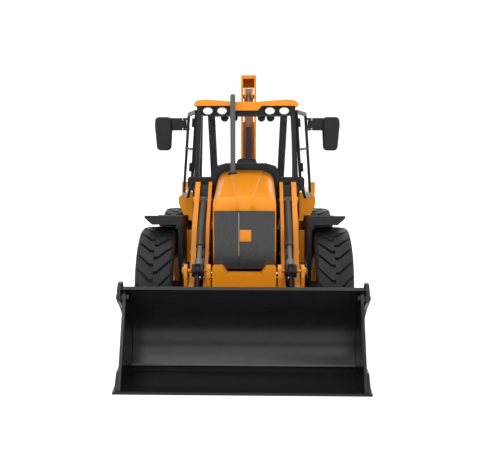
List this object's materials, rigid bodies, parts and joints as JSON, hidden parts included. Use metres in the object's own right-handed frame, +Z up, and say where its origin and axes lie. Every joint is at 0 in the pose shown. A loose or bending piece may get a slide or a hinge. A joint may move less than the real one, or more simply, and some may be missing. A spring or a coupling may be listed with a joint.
{
  "type": "toy backhoe loader",
  "caption": "Toy construction machine with a front loader bucket on lift arms, a glazed cab with doors, and a swinging rear digging arm with stabiliser legs",
  "frame": {"origin": "on the ground under the middle of the overall box", "axes": "+Z up, -Y is the front (loader bucket), +X is the machine's left side"},
  "size_m": [0.1836, 0.465, 0.246],
  "materials": {
    "yellow_plastic": "orange-yellow moulded plastic",
    "black_plastic": "satin black moulded plastic",
    "grey_plastic": "grey moulded plastic",
    "clear_plastic": "clear moulded plastic",
    "tyre_rubber": "soft black tyre compound",
    "lamp_lens": "clear lamp lens"
  },
  "bodies": {
    "base": {"chassis": "black_plastic", "nose_frame": "yellow_plastic", "hood": "yellow_plastic", "grille": "black_plastic", "badge_plate": "yellow_plastic", "exhaust": "grey_plastic", "cab_floor": "black_plastic", "seat": "black_plastic", "cab_frame": "black_plastic", "cab_glass": "clear_plastic", "roof": "yellow_plastic", "work_lamps": "lamp_lens", "rear_fenders": "yellow_plastic", "side_boxes": "black_plastic", "rear_frame": "yellow_plastic"},
    "steering_wheel_body": {"steering_wheel": "black_plastic"},
    "front_axle_body": {"front_axle": "black_plastic"},
    "tie_rod_body": {"tie_rod": "black_plastic"},
    "loader_arms_body": {"loader_arms": "yellow_plastic"},
    "loader_lever_left_body": {"loader_lever_left": "yellow_plastic"},
    "loader_lever_right_body": {"loader_lever_right": "yellow_plastic"},
    "crowd_barrels_body": {"crowd_barrels": "grey_plastic"},
    "crowd_rods_body": {"crowd_rods": "grey_plastic"},
    "loader_links_body": {"loader_links": "black_plastic"},
    "lift_barrels_body": {"lift_barrels": "grey_plastic"},
    "lift_rods_body": {"lift_rods": "grey_plastic"},
    "bucket_body": {"bucket": "black_plastic"},
    "bucket_clam_body": {"bucket_clam": "black_plastic"},
    "mirror_left_body": {"mirror_left": "black_plastic"},
    "mirror_right_body": {"mirror_right": "black_plastic"},
    "stabiliser_left_body": {"stabiliser_left": "black_plastic"},
    "stabiliser_right_body": {"stabiliser_right": "black_plastic"},
    "kingpost_body": {"kingpost": "yellow_plastic"},
    "boom_body": {"boom": "yellow_plastic"},
    "boom_ram_barrel_body": {"boom_ram_barrel": "grey_plastic"},
    "boom_ram_rod_body": {"boom_ram_rod": "grey_plastic"},
    "dipper_body": {"dipper": "yellow_plastic"},
    "dipper_ram_barrel_body": {"dipper_ram_barrel": "grey_plastic"},
    "dipper_ram_rod_body": {"dipper_ram_rod": "grey_plastic"},
    "hoe_ram_barrel_body": {"hoe_ram_barrel": "grey_plastic"},
    "hoe_ram_rod_body": {"hoe_ram_rod": "grey_plastic"},
    "hoe_lever_body": {"hoe_lever": "yellow_plastic"},
    "hoe_link_body": {"hoe_link": "black_plastic"},
    "hoe_bucket_body": {"hoe_bucket": "black_plastic"},
    "steer_left_body": {"knuckle_left": "black_plastic", "front_fender_left": "black_plastic"},
    "door_left_body": {"door_left": "black_plastic", "door_glass_left": "clear_plastic"},
    "wheel_front_left_body": {"tyre_front_left": "tyre_rubber", "rim_front_left": "yellow_plastic"},
    "wheel_rear_left_body": {"tyre_rear_left": "tyre_rubber", "rim_rear_left": "yellow_plastic"},
    "steer_right_body": {"knuckle_right": "black_plastic", "front_fender_right": "black_plastic"},
    "door_right_body": {"door_right": "black_plastic", "door_glass_right": "clear_plastic"},
    "wheel_front_right_body": {"tyre_front_right": "tyre_rubber", "rim_front_right": "yellow_plastic"},
    "wheel_rear_right_body": {"tyre_rear_right": "tyre_rubber", "rim_rear_right": "yellow_plastic"}
  },
  "joints": [
    {"name": "axle_swing", "type": "hinge", "parent": "base", "child": "front_axle_body", "pos_m": [0, -0.1045, 0.05], "axis": [0, 1, 0], "range_deg": [-3, 3]},
    {"name": "steer_left", "type": "hinge", "parent": "front_axle_body", "child": "steer_left_body", "pos_m": [0.05, -0.1045, 0.05], "axis": [0, 0, 1], "range_deg": [-8, 8]},
    {"name": "steer_right", "type": "hinge", "parent": "front_axle_body", "child": "steer_right_body", "pos_m": [-0.05, -0.1045, 0.05], "axis": [0, 0, 1], "range_deg": [-8, 8]},
    {"name": "tie_rod_shift", "type": "slide", "parent": "front_axle_body", "child": "tie_rod_body", "axis": [1, 0, 0], "range_m": [-0.00267, 0.00267]},
    {"name": "wheel_front_left_spin", "type": "hinge", "parent": "steer_left_body", "child": "wheel_front_left_body", "pos_m": [0.072, -0.1045, 0.05], "axis": [1, 0, 0], "continuous": true},
    {"name": "wheel_rear_left_spin", "type": "hinge", "parent": "base", "child": "wheel_rear_left_body", "pos_m": [0.072, 0.0525, 0.05], "axis": [1, 0, 0], "continuous": true},
    {"name": "wheel_front_right_spin", "type": "hinge", "parent": "steer_right_body", "child": "wheel_front_right_body", "pos_m": [-0.072, -0.1045, 0.05], "axis": [1, 0, 0], "continuous": true},
    {"name": "wheel_rear_right_spin", "type": "hinge", "parent": "base", "child": "wheel_rear_right_body", "pos_m": [-0.072, 0.0525, 0.05], "axis": [1, 0, 0], "continuous": true},
    {"name": "steering_wheel_spin", "type": "hinge", "parent": "base", "child": "steering_wheel_body", "pos_m": [0, -0.0325, 0.144], "axis": [0, 0.5126, 0.8586], "continuous": true},
    {"name": "loader_lift", "type": "hinge", "parent": "base", "child": "loader_arms_body", "pos_m": [0, -0.0605, 0.129], "axis": [-1, 0, 0], "range_deg": [0, 45]},
    {"name": "bucket_tilt", "type": "hinge", "parent": "loader_arms_body", "child": "bucket_body", "pos_m": [0, -0.1645, 0.016], "axis": [1, 0, 0], "range_deg": [-15, 25]},
    {"name": "clam_open", "type": "hinge", "parent": "bucket_body", "child": "bucket_clam_body", "pos_m": [0, -0.1975, 0.0605], "axis": [-1, 0, 0], "range_deg": [0, 40]},
    {"name": "loader_lever_left_turn", "type": "hinge", "parent": "loader_arms_body", "child": "loader_lever_left_body", "pos_m": [0.0368, -0.1395, 0.046], "axis": [1, 0, 0], "range_deg": [-15, 25]},
    {"name": "loader_lever_right_turn", "type": "hinge", "parent": "loader_arms_body", "child": "loader_lever_right_body", "pos_m": [-0.0368, -0.1395, 0.046], "axis": [1, 0, 0], "range_deg": [-15, 25]},
    {"name": "loader_links_turn", "type": "hinge", "parent": "loader_lever_left_body", "child": "loader_links_body", "pos_m": [0, -0.1435, 0.07], "axis": [1, 0, 0], "range_deg": [-25, 15]},
    {"name": "lift_barrels_turn", "type": "hinge", "parent": "base", "child": "lift_barrels_body", "pos_m": [0, -0.0585, 0.062], "axis": [1, 0, 0], "range_deg": [-23.66, 0.05]},
    {"name": "lift_rods_slide", "type": "slide", "parent": "lift_barrels_body", "child": "lift_rods_body", "axis": [0, -0.9487, 0.3162], "range_m": [-0.00005, 0.04534]},
    {"name": "crowd_barrels_turn", "type": "hinge", "parent": "loader_arms_body", "child": "crowd_barrels_body", "pos_m": [0, -0.0745, 0.12], "axis": [1, 0, 0], "range_deg": [-2.38, 1.45]},
    {"name": "crowd_rods_slide", "type": "slide", "parent": "crowd_barrels_body", "child": "crowd_rods_body", "axis": [0, -0.8097, -0.5868], "range_m": [-0.00566, 0.00939]},
    {"name": "door_left_open", "type": "hinge", "parent": "base", "child": "door_left_body", "pos_m": [0.05092, -0.0443, 0.15], "axis": [0.0756, 0, -0.9971], "range_deg": [-7, 60]},
    {"name": "mirror_left_fold", "type": "hinge", "parent": "door_left_body", "child": "mirror_left_body", "pos_m": [0.0622, 0.0184, 0.187], "axis": [0, 0, 1], "range_deg": [0, 70]},
    {"name": "stabiliser_left_drop", "type": "slide", "parent": "base", "child": "stabiliser_left_body", "axis": [0, 0, -1], "range_m": [0, 0.019]},
    {"name": "door_right_open", "type": "hinge", "parent": "base", "child": "door_right_body", "pos_m": [-0.05092, -0.0443, 0.15], "axis": [0.0756, 0, 0.9971], "range_deg": [-7, 60]},
    {"name": "mirror_right_fold", "type": "hinge", "parent": "door_right_body", "child": "mirror_right_body", "pos_m": [-0.0622, 0.0184, 0.187], "axis": [0, 0, -1], "range_deg": [0, 70]},
    {"name": "stabiliser_right_drop", "type": "slide", "parent": "base", "child": "stabiliser_right_body", "axis": [0, 0, -1], "range_m": [0, 0.019]},
    {"name": "backhoe_swing", "type": "hinge", "parent": "base", "child": "kingpost_body", "pos_m": [0, 0.1515, 0.061], "axis": [0, 0, 1], "range_deg": [-60, 60]},
    {"name": "boom_lower", "type": "hinge", "parent": "kingpost_body", "child": "boom_body", "pos_m": [0, 0.1675, 0.058], "axis": [-1, 0, 0], "range_deg": [0, 41]},
    {"name": "dipper_reach", "type": "hinge", "parent": "boom_body", "child": "dipper_body", "pos_m": [0, 0.1775, 0.222], "axis": [1, 0, 0], "range_deg": [0, 50]},
    {"name": "hoe_bucket_curl", "type": "hinge", "parent": "dipper_body", "child": "hoe_bucket_body", "pos_m": [0, 0.1985, 0.104], "axis": [1, 0, 0], "range_deg": [0, 60]},
    {"name": "hoe_lever_turn", "type": "hinge", "parent": "dipper_body", "child": "hoe_lever_body", "pos_m": [0, 0.2005, 0.124], "axis": [1, 0, 0], "range_deg": [0, 60]},
    {"name": "hoe_link_turn", "type": "hinge", "parent": "hoe_lever_body", "child": "hoe_link_body", "pos_m": [0, 0.2112, 0.115], "axis": [1, 0, 0], "range_deg": [-60, 0]},
    {"name": "boom_ram_barrel_turn", "type": "hinge", "parent": "kingpost_body", "child": "boom_ram_barrel_body", "pos_m": [0, 0.1835, 0.044], "axis": [1, 0, 0], "range_deg": [-35.75, 0.05]},
    {"name": "boom_ram_rod_slide", "type": "slide", "parent": "boom_ram_barrel_body", "child": "boom_ram_rod_body", "axis": [0, -0.025, 0.9997], "range_m": [-0.01313, 0.00005]},
    {"name": "dipper_ram_barrel_turn", "type": "hinge", "parent": "boom_body", "child": "dipper_ram_barrel_body", "pos_m": [0, 0.1605, 0.12], "axis": [1, 0, 0], "range_deg": [-1.26, 0.05]},
    {"name": "dipper_ram_rod_slide", "type": "slide", "parent": "dipper_ram_barrel_body", "child": "dipper_ram_rod_body", "axis": [0, 0.0028, 1], "range_m": [-0.01488, 0.00005]},
    {"name": "hoe_ram_barrel_turn", "type": "hinge", "parent": "dipper_body", "child": "hoe_ram_barrel_body", "pos_m": [0, 0.2005, 0.196], "axis": [1, 0, 0], "range_deg": [-0.05, 4.37]},
    {"name": "hoe_ram_rod_slide", "type": "slide", "parent": "hoe_ram_barrel_body", "child": "hoe_ram_rod_body", "axis": [0, 0.131, -0.9914], "range_m": [-0.01263, 0.00005]}
  ],
  "couplings": [
    {"joint": "steer_right", "follows": "steer_left", "ratio": 1},
    {"joint": "tie_rod_shift", "follows": "steer_left", "m_per_rad": -0.019},
    {"joint": "loader_lever_left_turn", "follows": "bucket_tilt", "ratio": 1},
    {"joint": "loader_lever_right_turn", "follows": "bucket_tilt", "ratio": 1},
    {"joint": "loader_links_turn", "follows": "bucket_tilt", "ratio": -1},
    {"joint": "lift_barrels_turn", "follows": "loader_lift", "ratio": -0.52472},
    {"joint": "lift_rods_slide", "follows": "loader_lift", "m_per_rad": 0.057665},
    {"joint": "crowd_barrels_turn", "follows": "bucket_tilt", "ratio": -0.09304},
    {"joint": "crowd_rods_slide", "follows": "bucket_tilt", "m_per_rad": 0.021413},
    {"joint": "hoe_lever_turn", "follows": "hoe_bucket_curl", "ratio": 1},
    {"joint": "hoe_link_turn", "follows": "hoe_bucket_curl", "ratio": -1},
    {"joint": "boom_ram_barrel_turn", "follows": "boom_lower", "ratio": -0.87074},
    {"joint": "boom_ram_rod_slide", "follows": "boom_lower", "m_per_rad": -0.01828},
    {"joint": "dipper_ram_barrel_turn", "follows": "dipper_reach", "ratio": -0.024272},
    {"joint": "dipper_ram_rod_slide", "follows": "dipper_reach", "m_per_rad": -0.01699},
    {"joint": "hoe_ram_barrel_turn", "follows": "hoe_bucket_curl", "ratio": 0.072003},
    {"joint": "hoe_ram_rod_slide", "follows": "hoe_bucket_curl", "m_per_rad": -0.012014}
  ]
}
